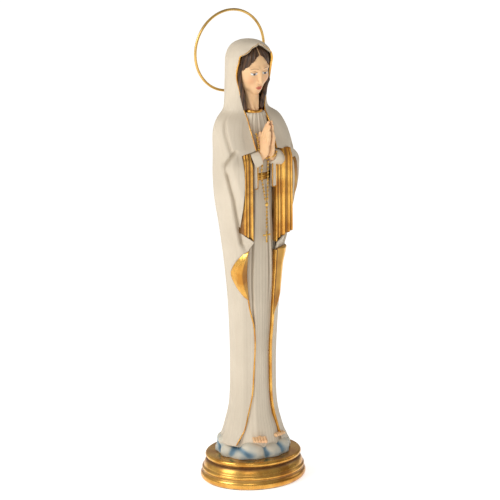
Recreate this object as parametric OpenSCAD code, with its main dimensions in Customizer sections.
// Standing praying madonna on an oval base, cast in resin and painted, with a removable wire halo
// and a small bead rosary hanging from the hands.
// Millimetres. Z is up, the origin is the middle of the underside. The figure faces -Y, and +X is
// the figure's left.

/* [Base] */
// Length of the oval base, side to side
base_l = 98; // [84:0.5:120]
// Width of the oval base, front to back
base_w = 87; // [74:0.5:106]
// Height of the base with its felt
base_h = 25; // [22:0.5:32]
// Flat ledge of the top plate that shows around the clouds
ledge = 7; // [4:0.5:12]
// Height of the lowest step
step_h = 8.8; // [6:0.1:10]
// Thickness of the top plate
plate_h = 4.7; // [3.5:0.1:6]
// Thickness of the felt under the base
felt_t = 1.6; // [1:0.1:3]
// How far the felt stands out of its recess
felt_proud = 0.6; // [0.3:0.1:1]

/* [Fixing screw] */
// Thread diameter of the screw that holds the base to the figure
screw_d = 5; // [4:0.5:8]
// Diameter of the screw's head
screw_head_d = 9.5; // [8:0.5:16]
// Height of the screw's head
screw_head_h = 3.2; // [2.5:0.1:5]
// Outside diameter of the washer
washer_d = 15; // [12:0.5:20]
// Thickness of the washer
washer_t = 1.2; // [0.8:0.1:2]
// Length of the screw under its head
screw_l = 34; // [28:1:48]
// Outside diameter of the threaded insert in the figure
insert_d = 8; // [6.5:0.5:12]
// Length of the threaded insert
insert_l = 12; // [8:1:16]

/* [Figure heights] */
// Height of the cloud mound above the base
mound_h = 15; // [11:0.5:18]
// From the top of the mound to the narrowest part of the skirt
skirt_h = 60; // [48:1:76]
// From the narrowest part up to the middle of the hips
thigh_h = 90; // [72:1:110]
// From the hips up to the elbows
torso_h = 92; // [76:1:112]
// From the elbows up to the neck
arm_h = 56; // [46:1:70]
// From the neck up to the crown of the hood
hood_h = 62; // [52:1:76]

/* [Figure widths] */
// Width of the mantle at its hem
hem_w = 62; // [52:1:66]
// Width of the mantle where it is narrowest
narrow_w = 43; // [38:1:52]
// Width over the elbows
elbow_w = 76; // [64:1:92]
// Width over the shoulders
shoulder_w = 71; // [60:1:86]
// Width of the hood
hood_w = 40; // [35:1:48]
// Depth of the hood, front to back
hood_d = 46; // [40:1:55]
// Thickness of the hood's wall
hood_wall = 2; // [1.6:0.1:3]
// Half of the mantle's front opening at the chest and knees
opening = 10.5; // [8.5:0.5:12.5]
// Height of the wide sleeve's opening
sleeve_h = 70; // [56:1:84]
// Width of the lining that shows in each wide sleeve
lining_w = 12; // [10:0.5:14.5]

/* [Halo] */
// Radius of the halo ring, to the middle of the wire
halo_r = 36.2; // [30:0.1:44]
// Diameter of the ring's wire
halo_wire = 2.4; // [1.8:0.1:3]
// Diameter of the stem
stem_d = 2; // [1.6:0.1:2.6]
// Clear gap between the hood's back and the ring
halo_gap = 6.5; // [4:0.5:9]
// Depth of the socket in the back of the hood
socket_depth = 12; // [9:0.5:15]
// Wall of the sleeve on the stem
sleeve_wall = 0.7; // [0.5:0.05:1.1]
// Wall of the socket bush
bush_wall = 0.9; // [0.7:0.05:1.3]
// Running clearance of the stem and sleeve, on the radius
run_gap = 0.05; // [0.03:0.01:0.08]

/* [Rosary] */
// Diameter of a bead
bead_d = 1.9; // [1.5:0.1:2.3]
// Distance from bead to bead
bead_pitch = 3.4; // [2.9:0.1:4.2]
// Length of the two strands, from the hands to the medal
strand_l = 42; // [34:1:50]
// Length of the pendant chain, from the medal to the crucifix
pendant_l = 21; // [17:1:26]
// Height of the crucifix
cross_h = 10; // [8:0.5:12]
// Thickness of the chain's wire
chain_d = 0.6; // [0.5:0.05:0.9]

/* [Hidden] */

$fn = 48;
gap = 0.1;             // glue line between pieces that sit in each other
eps = 0.01;

// Levels, each on the one below
z_base = base_h;
z_hem = z_base + mound_h;
z_narrow = z_hem + skirt_h;
z_hip = z_narrow + thigh_h;
z_elbow = z_hip + torso_h;
z_neck = z_elbow + arm_h;
z_crown = z_neck + hood_h;
z_brow = z_crown - 18;             // where the hood starts to close over the head

// Colours
ivory = [0.86, 0.80, 0.72];
stone = [0.67, 0.62, 0.55];
gold = [0.76, 0.56, 0.22];
skin = [0.90, 0.72, 0.55];

// ---- Smooth outlines: rows of [height, value, ...] joined by a smooth curve ----

function row_at(rows, z, i = 0) =
    (i >= len(rows) - 2 || z < rows[i + 1][0]) ? i : row_at(rows, z, i + 1);
function slope(rows, i) =
    let (a = max(i - 1, 0), b = min(i + 1, len(rows) - 1)) (rows[b] - rows[a]) / (rows[b][0] - rows[a][0]);
function smooth(rows, z) =
    let (i = row_at(rows, z), h = rows[i + 1][0] - rows[i][0],
         s = min(1, max(0, (z - rows[i][0]) / h)))
    rows[i] * (2 * pow(s, 3) - 3 * s * s + 1) + slope(rows, i) * h * (pow(s, 3) - 2 * s * s + s)
    + rows[i + 1] * (3 * s * s - 2 * pow(s, 3)) + slope(rows, i + 1) * h * (pow(s, 3) - s * s);
function ease(a, b, x) = let (s = min(1, max(0, (x - a) / (b - a)))) s * s * (3 - 2 * s);

// A point of an oval section [height, half width, front depth, back depth, squareness].
// The angle runs from the front (0) by the figure's left (90) to the back (180).
function on_oval(st, t, grow = 0) =
    let (n = 2 / st[4], b = (st[2] + st[3]) / 2, middle = (st[3] - st[2]) / 2)
    [(st[1] + grow) * sign(sin(t)) * pow(abs(sin(t)), n),
     middle - (b + grow) * sign(cos(t)) * pow(abs(cos(t)), n)];

// Skin over closed rings of points, listed from the bottom up
module skin_over(rings) {
    n = len(rings[0]);
    top = len(rings) - 1;
    polyhedron(
        points = [for (ring = rings) for (p = ring) p],
        faces = concat(
            [[for (i = [0 : n - 1]) i]],
            [for (k = [0 : top - 1]) for (i = [0 : n - 1]) let (j = (i + 1) % n)
                each [[k * n + i, (k + 1) * n + i, (k + 1) * n + j],
                      [k * n + i, (k + 1) * n + j, k * n + j]]],
            [[for (i = [n - 1 : -1 : 0]) top * n + i]]));
}

// ---- Base ----

// Half section of the base: [inset from the widest line, height]
base_profile = [
    [0.8, felt_proud], [0, 0.3 * step_h], [0, 0.7 * step_h], [1.6, step_h],
    [1.2, step_h + 1.3], [1.5, step_h + 2.9], [2.6, step_h + 3.6],
    [5.2, step_h + 6.2], [6.6, base_h - plate_h - 1.6], [6.6, base_h - plate_h],
    [4.9, base_h - plate_h + 0.5], [4.3, base_h - plate_h / 2], [4.9, base_h - 0.7], [5.9, base_h]];
rim = 5.9;                          // inset of the top plate's flat
mound_l = base_l - 2 * (rim + ledge);
mound_w = base_w - 2 * (rim + ledge) + 2;
fan_n = 60;

module base_body() {
    skin_over([for (p = base_profile) [for (i = [0 : fan_n - 1]) let (t = i * 360 / fan_n)
        [(base_l / 2 - p[0]) * sin(t), -(base_w / 2 - p[0]) * cos(t), p[1]]]]);
}

felt_margin = 3;                    // from the base's edge to the felt
head_room = felt_t + 0.6;           // felt and air under the screw's head
washer_z = head_room + screw_head_h;
screw_top = washer_z + screw_l;
insert_z = z_base + 3;

module felt_outline(low, grow) {
    skin_over([for (z = [low, felt_t]) [for (i = [0 : fan_n - 1]) let (t = i * 360 / fan_n)
        [(base_l / 2 - felt_margin + grow) * sin(t), -(base_w / 2 - felt_margin + grow) * cos(t), z]]]);
}

module felt_pad() {
    color("darkgreen") felt_outline(0, 0);
}

module base_plinth() {
    color(gold) difference() {
        base_body();
        felt_outline(-1, gap);
        cylinder(d = screw_d + 0.6, h = base_h + 1);
        cylinder(d = washer_d + 1, h = washer_z + washer_t);
    }
}

module base_washer() {
    color("silver") translate([0, 0, washer_z]) difference() {
        cylinder(d = washer_d, h = washer_t);
        translate([0, 0, -1]) cylinder(d = screw_d + 0.3, h = washer_t + 2);
    }
}

module base_screw() {
    slot_w = 1.4;
    color("silver") difference() {
        union() {
            translate([0, 0, head_room]) cylinder(d = screw_head_d, h = screw_head_h);
            translate([0, 0, washer_z - eps]) cylinder(d = screw_d, h = screw_l);
        }
        for (turn = [0, 90]) rotate(turn)
            translate([-screw_head_d * 0.3, -slot_w / 2, 0]) cube([screw_head_d * 0.6, slot_w, head_room + 1.8]);
    }
}

module threaded_insert() {
    color("goldenrod") translate([0, 0, insert_z]) difference() {
        cylinder(d = insert_d, h = insert_l);
        translate([0, 0, -1]) cylinder(d = screw_d, h = insert_l + 2);
    }
}

// ---- Clouds ----

lumps = 15;                         // puffs around the mound
mound_rings = 12;
mound_n = 60;

// The mound is an oval dome whose wall is pushed out into puffs
function mound_point(k, t) =
    let (q = 90 * k / mound_rings,
         puff = 1.1 * abs(sin(lumps * t / 2 + 25 * k / mound_rings)) * sin(2 * q + 12),
         r = pow(cos(q), 0.24))
    [((mound_l / 2 - 1) * r + puff) * sin(t), -((mound_w / 2 - 1) * r + puff) * cos(t),
     z_base + mound_h * sin(q)];

module screw_room() {
    cylinder(d = screw_d + 0.2, h = screw_top + 0.6);
    translate([0, 0, insert_z]) cylinder(d = insert_d, h = insert_l);
}

module cloud_mound() {
    color([0.62, 0.70, 0.74]) difference() {
        skin_over([for (k = [0 : mound_rings - 1])
            [for (i = [0 : mound_n - 1]) mound_point(k, i * 360 / mound_n)]]);
        screw_room();
        foot_seats();
        mantle_seat();
        figure_core(gap);
    }
}

// The figure stands in the clouds, so the puffs are hollowed to the mantle's outline
module mantle_seat() {
    skin_over([for (z = [z_hem - sole - gap, z_hem, z_hem + 4, z_hem + 8]) mantle_ring(z, gap, 48)]);
}

// ---- Tunic: the body inside the mantle ----

tunic_n = 48;
tunic_steps = 17;
sole = 4;                           // how far the figure is sunk in the clouds
tunic_z0 = z_hem - sole - 2;
waist_d = 15;                       // front of the tunic at the belt
tunic_rows = [
    [tunic_z0, hem_w / 2 - 4, 25.5, 23, 2],
    [z_hem + 0.15 * skirt_h, hem_w / 2 - 6.5, 22.5, 20.5, 2],
    [z_hem + 0.4 * skirt_h, narrow_w / 2 - 1.2, 17.8, 16.5, 2],
    [z_narrow, narrow_w / 2 - 3, 15.8, 14.5, 2],
    [z_narrow + 0.5 * thigh_h, narrow_w / 2 - 2, 17, 15, 2],
    [z_hip, narrow_w / 2 - 1.5, 17.8, 16, 2],
    [z_elbow - 0.25 * torso_h, narrow_w / 2 - 3, 16.2, 15, 2],
    [z_elbow - 1, narrow_w / 2 - 5, waist_d - 1, 14, 2],
    [z_elbow + 0.35 * arm_h, narrow_w / 2 - 2.5, 13.5, 15, 2],
    [z_elbow + 0.75 * arm_h, narrow_w / 2 - 3, 10.2, 16, 2],
    [z_neck - 1, 12, 7.8, 14, 2]];

// Hanging folds on the front of the skirt, and fine pleats on the chest
function tunic_fold(t, z) =
    let (front = max(0, cos(t)), skirt = 1 - ease(z_elbow - 12, z_elbow - 4, z),
         chest = ease(z_elbow + 8, z_elbow + 16, z))
    front * (skirt * 0.5 * cos(8 * t) + chest * 0.3 * cos(12 * t));

function tunic_ring(k, grow) =
    let (z = tunic_z0 + (z_neck - 1 - tunic_z0) * k / tunic_steps, st = smooth(tunic_rows, z),
         end = k == 0 ? -grow : k == tunic_steps ? grow : 0)
    [for (i = [0 : tunic_n - 1]) let (t = i * 360 / tunic_n, p = on_oval(st, t, grow + tunic_fold(t, z)))
        [p[0], p[1], z + end]];

// The tunic's outline, that everything around it is hollowed for
module figure_core(grow) {
    skin_over([for (k = [0 : tunic_steps]) tunic_ring(k, grow)]);
}

module tunic() {
    color(stone) difference() {
        figure_core(0);
        screw_room();
        neck_peg(gap);
    }
}

// ---- Feet, on the clouds in front of the hem ----

foot_w = 10.5;
foot_turn = 14;                     // how far each foot turns out
foot_right_at = [-15, -21];
foot_left_at = [12, -17.5];

module foot_shape(grow) {
    hull() {
        translate([0, 0, z_hem]) cylinder(d1 = foot_w + grow, d2 = foot_w - 3 + grow, h = 5 + grow, $fn = 20);
        translate([0, -5.5, z_hem]) cylinder(d1 = foot_w + grow, d2 = foot_w - 2 + grow, h = 2.6 + grow, $fn = 20);
    }
}

module both_feet(grow) {
    translate(foot_right_at) rotate(-foot_turn) foot_shape(grow);
    translate(foot_left_at) rotate(foot_turn) foot_shape(grow);
}

module foot_seats() {
    translate([0, 0, -gap]) both_feet(2 * gap);
}

module foot_right() {
    color(skin) difference() {
        translate(foot_right_at) rotate(-foot_turn) foot_shape(0);
        figure_core(gap);
    }
}

module foot_left() {
    color(skin) difference() {
        translate(foot_left_at) rotate(foot_turn) foot_shape(0);
        figure_core(gap);
    }
}

// ---- Belt and collar ----

belt_h = 6.5;
belt_t = 1.4;

module band(z, h, outer, rows) {
    skin_over([for (q = [0 : 1]) [for (i = [0 : 47]) let (p = on_oval(smooth(rows, z), i * 7.5, outer)) [p[0], p[1], z + q * h]]]);
}

module belt() {
    z = z_elbow - belt_h / 2 - 1;
    color(gold) intersection() {
        difference() {
            band(z, belt_h, belt_t + 0.6, tunic_rows);
            figure_core(gap);
        }
        translate([-opening, -60, z]) cube([2 * opening, 60, belt_h]);
    }
}

collar_z = z_neck - 1;

module collar() {
    color(gold) translate([0, 0.5, collar_z]) difference() {
        cylinder(r1 = 8.6, r2 = 8, h = 2.6);
        translate([0, 0, -1]) cylinder(r = neck_r + 0.7, h = 5);
    }
}

// ---- Mantle ----

mantle_n = 56;
hood_back = 29.8 + (hood_d - 46);
hood_front = hood_d - hood_back;
mantle_rows = [
    [z_hem - sole, hem_w / 2 + 2, 26.5, 25.5, 2],
    [z_hem + 0.05 * skirt_h, hem_w / 2 - 1.5, 24.5, 23.5, 2],
    [z_hem + 0.18 * skirt_h, hem_w / 2 - 4, 22.2, 21.5, 2],
    [z_hem + 0.43 * skirt_h, narrow_w / 2 + 1.8, 18.8, 18.2, 2],
    [z_hem + 0.66 * skirt_h, narrow_w / 2 + 0.4, 17.6, 17.2, 2],
    [z_narrow, narrow_w / 2, 17.2, 17, 2],
    [z_narrow + 0.3 * thigh_h, narrow_w / 2 + 0.4, 17.6, 17.4, 2],
    [z_narrow + 0.72 * thigh_h, narrow_w / 2 + 2.6, 19.6, 19, 2],
    [z_hip + 10, narrow_w / 2 + 6.3, 22.2, 22, 2],
    [z_hip + 0.51 * torso_h, elbow_w / 2 - 5, 24, 24, 2.1],
    [z_hip + 0.76 * torso_h, elbow_w / 2 - 1.2, 26, 24, 2.4],
    [z_elbow, elbow_w / 2, 26.5, 23.5, 2.7],
    [z_elbow + 0.37 * arm_h, elbow_w / 2 - 0.7, 23, 24, 2.6],
    [z_elbow + 0.62 * arm_h, shoulder_w / 2 + 1, 16, 25, 2.4],
    [z_elbow + 0.76 * arm_h, shoulder_w / 2 - 0.8, 12, 25.8, 2.2],
    [z_elbow + 0.89 * arm_h, shoulder_w / 2 - 4.5, 10.6, 26, 2],
    [z_neck + 1, hood_w / 2 + 4, 11, 27.5, 2],
    [z_neck + 9, hood_w / 2 + 0.4, 14, hood_back - 0.4, 2],
    [z_brow, hood_w / 2, hood_front, hood_back, 2]];

mantle_levels = concat(
    [z_hem - sole, z_hem, z_hem + 4, z_hem + 10, z_hem + 18, z_hem + 30],
    [for (k = [0 : 10]) z_narrow + (z_elbow - z_narrow) * k / 11],
    [for (k = [0 : 10]) z_elbow + (z_neck + 4 - z_elbow) * k / 10],
    [z_neck + 9, z_neck + 18, z_brow]);

function mantle_ring(z, grow, n) =
    let (st = smooth(mantle_rows, z))
    [for (i = [0 : n - 1]) let (p = on_oval(st, i * 360 / n, grow)) [p[0], p[1], z]];

// The hood closes in a dome that stays full towards its front rim
function dome_ring(q, grow, n) =
    let (st = smooth(mantle_rows, z_brow), s = pow(cos(q), 0.8))
    [for (i = [0 : n - 1]) let (p = on_oval(st, i * 360 / n, grow), middle = (hood_back - hood_front) / 2)
        [p[0] * s, (p[1] - middle) * s + middle, z_brow + (z_crown - z_brow + grow) * sin(q)]];

module mantle_envelope(grow, levels, n, closed) {
    skin_over(concat(
        [for (z = levels) mantle_ring(z, grow, n)],
        closed ? [for (q = [18, 36, 52, 66, 78, 86]) dome_ring(q, grow, n)] : []));
}

z_sleeve_top = z_elbow + 18;
z_sleeve = z_sleeve_top - sleeve_h;     // bottom of the wide sleeves
lining_x = opening + 2.5;               // inner edge of the linings
lining_y = 14;                          // how deep the wide sleeves are open

// The front opening as it is seen from the front: right half, then left half, from the hem up
module opening_shape() {
    polygon([
        [-(hem_w / 2 + 4), z_hem - 8], [-(hem_w / 2 - 5), z_hem + 2], [-(opening + 6.5), z_hem + 16],
        [-(opening + 1.5), z_hem + 38], [-opening, z_narrow], [-opening, z_hip - 44],
        [-(opening + 1), z_hip - 26], [-(opening + 2.5), z_sleeve],
        [-(opening + 2.5), z_sleeve_top - 4], [-opening, z_sleeve_top], [-opening, z_neck],
        [-(opening + 3.2), z_neck + 16], [-(hood_w / 2 - 2.4), z_neck + 33], [-(hood_w / 2 - 3.2), z_crown - 13],
        [0, z_crown - 1.5],
        [hood_w / 2 - 3.2, z_crown - 13], [hood_w / 2 - 2.4, z_neck + 33], [opening + 3.2, z_neck + 16],
        [opening, z_neck], [opening, z_sleeve_top], [opening + 2.5, z_sleeve_top - 4],
        [opening + 2.5, z_sleeve], [opening + 1, z_hip - 26], [opening, z_hip - 44],
        [opening, z_narrow], [opening + 0.5, z_hem + 24], [opening + 5, z_hem + 8],
        [opening + 12, z_hem - 8]]);
}

// The mouth of one wide sleeve, on the figure's left
module sleeve_mouth(grow) {
    polygon([
        [lining_x - 1, z_sleeve - grow], [lining_x + lining_w * 0.55 , z_sleeve + 6 - grow],
        [lining_x + lining_w + grow, z_sleeve + 8], [lining_x + lining_w + grow, z_sleeve_top - 8],
        [lining_x + lining_w * 0.4, z_sleeve_top + grow], [lining_x - 1, z_sleeve_top + grow]]);
}

module from_front(front, back) {
    translate([0, -back, 0]) rotate([90, 0, 0]) linear_extrude(front - back) children();
}

module mantle() {
    color(ivory) resize([0, 0, 0]) difference() {
        mantle_envelope(0, mantle_levels, mantle_n, true);
        skin_over(concat(
            [for (z = [z_neck - 2, z_neck + 4, z_neck + 12, z_neck + 22, z_neck + 34, z_brow])
                mantle_ring(z, -hood_wall, 32)],
            [for (q = [20, 42, 62, 78]) dome_ring(q, -hood_wall, 32)]));
        figure_core(gap);
        from_front(60, -3) opening_shape();
        for (side = [0, 1]) mirror([side, 0, 0]) {
            from_front(60, lining_y) sleeve_mouth(0);
            sleeve_arm(0.2);
            cuff_shape(cuff_d / 2 + gap, cuff_l + 8);
        }
        both_feet(1);
        socket_room();
        collar_room();
    }
}

module collar_room() {
    translate([0, 0.5, collar_z - 2]) cylinder(r = 9, h = 6);
}

// ---- Sleeves ----

// Pleated lining that hangs in a wide sleeve, on the figure's left
pleats = 4;
lining_t = 5;

module lining_shape() {
    front = 21.5;
    pitch = lining_w / pleats;
    intersection() {
        translate([0, 0, z_sleeve - 2]) linear_extrude(sleeve_h + 4) polygon(concat(
            [for (k = [0 : 2 * pleats]) [lining_x + 0.2 + (lining_w - 0.4) * k / (2 * pleats),
                -(front + (k % 2 == 0 ? 0 : 1.1) + 0.6 * k / (2 * pleats))]],
            [[lining_x + lining_w - 0.2, -lining_y - gap], [lining_x + 0.2, -lining_y - gap]]));
        from_front(60, 0) sleeve_mouth(-0.3);
    }
}

module lining_left() {
    color(gold) difference() {
        lining_shape();
        cuff_shape(cuff_d / 2 + gap, cuff_l + 8);
    }
}

module lining_right() {
    color(gold) mirror([1, 0, 0]) difference() {
        lining_shape();
        cuff_shape(cuff_d / 2 + gap, cuff_l + 8);
    }
}

// Narrow hanging end of the tunic's own sleeve, between the lining and the hands
inner_l = 26;
inner_w = 5.6;

module sleeve_arm(grow) {
    translate([opening - inner_w + 1.6 - grow, -21 - grow, z_elbow - 10 - grow])
        cube([inner_w + 2 * grow, 5.4 + 2 * grow, inner_l - 4 + 2 * grow]);
}

module inner_sleeve_left() {
    color(stone) difference() {
        sleeve_arm(0);
        cuff_shape(cuff_d / 2 + gap, cuff_l);
        figure_core(0.8);
    }
}

module inner_sleeve_right() {
    color(stone) mirror([1, 0, 0]) difference() {
        sleeve_arm(0);
        cuff_shape(cuff_d / 2 + gap, cuff_l);
        figure_core(0.8);
    }
}

// ---- Cuffs and hands ----

cuff_d = 13;
cuff_l = 11;
wrist_d = 7.6;
wrist = [6.4, -19.6, z_elbow + 19];        // left wrist, where the cuff ends
arm_turn = [-16, 58];                      // how the forearm rises and swings inwards

module cuff_shape(r, l) {
    translate(wrist) rotate([0, 0, arm_turn[1]]) rotate([0, 90 - arm_turn[0], 0])
        cylinder(r = r, h = l);
}

module cuff_body() {
    difference() {
        cuff_shape(cuff_d / 2, cuff_l);
        cuff_shape(wrist_d / 2 + gap, cuff_l - 3);
        hand_cutter();
        palm(gap);
        figure_core(gap);
    }
}

module cuff_left() {
    color(stone) cuff_body();
}

module cuff_right() {
    color(stone) mirror([1, 0, 0]) cuff_body();
}

module hand_cutter() {
    translate([-20, -60, z_elbow - 20]) cube([20 + 0.3, 120, 80]);
}

palm_gap = 0.3;                            // between the two palms
finger_tip = [2.4, -26, z_elbow + 49.5];

module palm(grow) {
    hull() {
        translate([4.6, -18.6, z_elbow + 19]) sphere(r = 3.4 + grow, $fn = 18);
        translate([3.4, -22.4, z_elbow + 27]) sphere(r = 3.1 + grow, $fn = 18);
        translate([3.3, -15.6, z_elbow + 32]) sphere(r = 2.7 + grow, $fn = 18);
        translate([3, -22.6, z_elbow + 36]) sphere(r = 2.6 + grow, $fn = 18);
    }
}

module hand_shape() {
    difference() {
        union() {
            palm(0);
            hull() {
                translate([3, -22.8, z_elbow + 35]) sphere(r = 2.5, $fn = 18);
                translate([2.9, -18, z_elbow + 36]) sphere(r = 2.4, $fn = 18);
                translate(finger_tip) sphere(r = 1.5, $fn = 18);
                translate(finger_tip + [0.1, 3.6, -2]) sphere(r = 1.5, $fn = 18);
            }
            hull() {
                translate([3.2, -14.8, z_elbow + 31]) sphere(r = 2.2, $fn = 18);
                translate([2.2, -14.6, z_elbow + 41]) sphere(r = 1.5, $fn = 18);
            }
            cuff_shape(wrist_d / 2, cuff_l - 3.2);
        }
        translate([-20 + palm_gap / 2, -60, z_elbow - 20]) cube([20, 120, 100]);
        figure_core(gap);
    }
}

module hand_left() {
    color(skin) hand_shape();
}

module hand_right() {
    color(skin) mirror([1, 0, 0]) hand_shape();
}

// ---- Hips: the mantle's front edge turned out so that its lining shows ----

turn_h = 46;
turn_t = 2.2;

module turned_edge() {
    z0 = z_hip - turn_h / 2 - 2;
    levels = [for (k = [0 : 8]) z0 + turn_h * k / 8];
    resize([0, 0, 0]) intersection() {
        difference() {
            mantle_envelope(turn_t, levels, mantle_n, false);
            mantle_envelope(gap, [levels[0] - 1, each levels, levels[8] + 1], mantle_n, false);
        }
        from_front(60, 0) polygon([
            [opening + 1.5, z0 + 0.5], [opening + 4, z0 + 4], [narrow_w / 2 + 0.5, z0 + 0.3 * turn_h],
            [narrow_w / 2 + 3, z0 + 0.52 * turn_h], [narrow_w / 2 + 1.5, z0 + 0.75 * turn_h],
            [opening + 7, z0 + 0.93 * turn_h], [opening + 3, z0 + turn_h - 0.5], [opening + 2, z0 + turn_h / 2]]);
    }
}

module hip_lining_left() {
    color(gold) turned_edge();
}

module hip_lining_right() {
    color(gold) mirror([1, 0, 0]) turned_edge();
}

// ---- Head, neck and hair ----

head_tilt = 10;                            // the head bows a little
skull_r = 13.2;
z_head = z_neck + 40;                      // middle of the skull
neck_r = 6.2;

module neck_peg(grow) {
    translate([0, 1, z_neck - 8 - grow]) cylinder(r = neck_r - 1.2 + grow, h = 14);
}

module head_shape(grow = 0) {
    translate([0, 3, z_head]) rotate([head_tilt, 0, 0]) hull() {
        translate([0, 1.5, -1]) sphere(r = skull_r - 1 + grow, $fn = 28);
        translate([0, -1.5, -10]) sphere(r = 9.5 + grow, $fn = 24);
        translate([0, -6, -20]) sphere(r = 4.4 + grow, $fn = 20);
    }
}

module head() {
    color(skin) union() {
        head_shape();
        translate([0, 3, z_head]) rotate([head_tilt, 0, 0]) hull() {
            translate([0, -10.6, -3]) sphere(r = 1.2, $fn = 14);
            translate([0, -11.8, -9.5]) sphere(r = 1.9, $fn = 14);
        }
        translate([0, 1, z_neck - 1 + gap]) cylinder(r = neck_r, h = 26);
        neck_peg(0);
    }
}

module hair_window() {
    polygon([[-5.5, z_neck - 8], [-9.5, z_head - 19], [-11, z_head - 8], [-9.6, z_head + 1],
             [0, z_head + 9], [9.6, z_head + 1], [11, z_head - 8], [9.5, z_head - 19], [5.5, z_neck - 8]]);
}

module hair() {
    color([0.22, 0.13, 0.09]) resize([0, 0, 0]) difference() {
        intersection() {
            hull() {
                translate([0, 5.5, z_head - 1]) sphere(r = skull_r + 2.1, $fn = 30);
                translate([0, 7, z_neck + 12]) sphere(r = 12, $fn = 24);
                translate([0, 6, z_neck + 2.2]) cylinder(r = 11, h = 1, $fn = 30);
            }
            skin_over(concat(
                [for (z = [z_neck + 2.2, z_neck + 4, z_neck + 12, z_neck + 22, z_neck + 34, z_brow])
                    mantle_ring(z, -hood_wall - 0.3, 32)],
                [for (q = [20, 42, 62, 78]) dome_ring(q, -hood_wall - 0.3, 32)]));
        }
        head_shape(gap);
        translate([0, 1, z_neck - 2]) cylinder(r = neck_r + gap, h = 30);
        from_front(60, -2) hair_window();
        translate([0, 0.5, z_neck - 2]) cylinder(r = 8.7, h = 4);
        figure_core(gap);
        socket_room();
    }
}

// ---- Halo: the stem turns in a sleeve, and the sleeve pulls out of the socket ----

z_stem = z_crown - 15 - halo_r;
y_socket = smooth(mantle_rows, z_stem)[3];     // back of the hood at the stem
y_halo = y_socket + halo_gap + halo_wire / 2;
sleeve_r = stem_d / 2 + run_gap + sleeve_wall;
bush_r = sleeve_r + run_gap + bush_wall;
flange_t = 1;
flange_r = bush_r + 1;
collar_r = stem_d / 2 + 0.9;                   // stop ring on the stem
sleeve_end = y_socket + flange_t + 1.6;

// A cylinder that lies along Y from one place to another
module along_y(r, from, to) {
    translate([0, from, z_stem]) rotate([-90, 0, 0]) cylinder(r = r, h = to - from);
}

module socket_room() {
    along_y(bush_r + gap, y_socket - socket_depth, y_socket + 10);
}

module halo_socket() {
    color("goldenrod") difference() {
        union() {
            along_y(bush_r, y_socket - socket_depth + 0.5, y_socket + flange_t);
            along_y(flange_r, y_socket + 0.4, y_socket + flange_t);
        }
        along_y(sleeve_r + run_gap, y_socket - socket_depth + 1.5, y_socket + flange_t + 1);
    }
}

module halo_sleeve() {
    color("white") difference() {
        union() {
            along_y(sleeve_r, y_socket - socket_depth + 2, sleeve_end);
            along_y(flange_r, y_socket + flange_t + run_gap, sleeve_end);
        }
        along_y(stem_d / 2 + run_gap, y_socket - socket_depth, sleeve_end + 1);
    }
}

module halo_stem() {
    color(gold) union() {
        along_y(stem_d / 2, y_socket - socket_depth + 2.5, y_halo);
        along_y(collar_r, sleeve_end + run_gap, sleeve_end + 1.2);
        translate([0, y_halo, z_stem]) sphere(d = halo_wire + 1);
    }
}

module halo_ring() {
    color(gold) difference() {
        translate([0, y_halo, z_stem + halo_r]) rotate([90, 0, 0])
            rotate_extrude() translate([halo_r, 0]) circle(d = halo_wire);
        translate([0, y_halo, z_stem]) sphere(d = halo_wire + 1);
        along_y(stem_d / 2, y_socket, y_halo);
    }
}

// ---- Rosary ----

y_rosary = -21.2;                              // the strands hang plumb here
z_hang = z_elbow + 17;                         // the strands' rings, under the wrists
hang_x = 4.2;
z_medal = z_hang - strand_l;
z_pendant = z_medal - 3.4;
z_cross = z_pendant - pendant_l;

module bead(p) {
    translate(p) sphere(d = bead_d, $fn = 8);
}

module wire(a, b) {
    d = b - a;
    l = norm(d);
    translate(a) rotate([0, acos(d[2] / l), atan2(d[1], d[0])]) cylinder(d = chain_d, h = l, $fn = 6);
}

// Beads on a wire, with a bead on the first point and none on the last
module strung(a, b) {
    n = round(norm(b - a) / bead_pitch);
    inside = 0.3 * bead_d * (b - a) / norm(b - a);
    wire(a + inside, b - inside);
    for (k = [0 : n - 1]) bead(a + (b - a) * k / n);
}

// The rosary runs down the back of the right hand and crosses under both wrists
wrap_points = [[-6.9, -13.5, z_elbow + 37], [-7.2, -17.5, z_elbow + 30.5], [-7.6, -21, z_elbow + 24],
               [-hang_x - 1.2, y_rosary, z_hang + 1], [hang_x + 1.2, y_rosary, z_hang + 1]];

module rosary_wrap() {
    last = len(wrap_points) - 1;
    color("goldenrod") resize([0, 0, 0]) {
        for (k = [0 : last - 1]) strung(wrap_points[k], wrap_points[k + 1]);
        bead(wrap_points[last]);
    }
}

module rosary_strands() {
    color("goldenrod") resize([0, 0, 0]) for (side = [-1, 1])
        strung([side * hang_x, y_rosary, z_hang - bead_d / 2 - 1.2], [side * 0.9, y_rosary, z_medal + 2.3]);
}

module rosary_medal() {
    color("goldenrod") translate([0, y_rosary + 0.5, z_medal]) rotate([90, 0, 0]) cylinder(d = 4, h = 1);
}

module rosary_pendant() {
    color("goldenrod") resize([0, 0, 0]) strung([0, y_rosary, z_pendant], [0, y_rosary, z_cross + 0.4]);
}

module rosary_cross() {
    arm = cross_h * 0.72;
    bar = 1.5;
    color("goldenrod") translate([0, y_rosary, z_cross]) {
        translate([-bar / 2, -bar / 2, -cross_h]) cube([bar, bar, cross_h]);
        translate([-arm / 2, -bar / 2, -cross_h * 0.4]) cube([arm, bar, bar]);
    }
}

felt_pad();
base_plinth();
base_washer();
base_screw();
threaded_insert();
cloud_mound();
tunic();
foot_right();
foot_left();
belt();
collar();
mantle();
lining_right();
lining_left();
inner_sleeve_right();
inner_sleeve_left();
hip_lining_right();
hip_lining_left();
cuff_right();
cuff_left();
hand_right();
hand_left();
head();
hair();
halo_socket();
halo_sleeve();
halo_stem();
halo_ring();
rosary_wrap();
rosary_strands();
rosary_medal();
rosary_pendant();
rosary_cross();
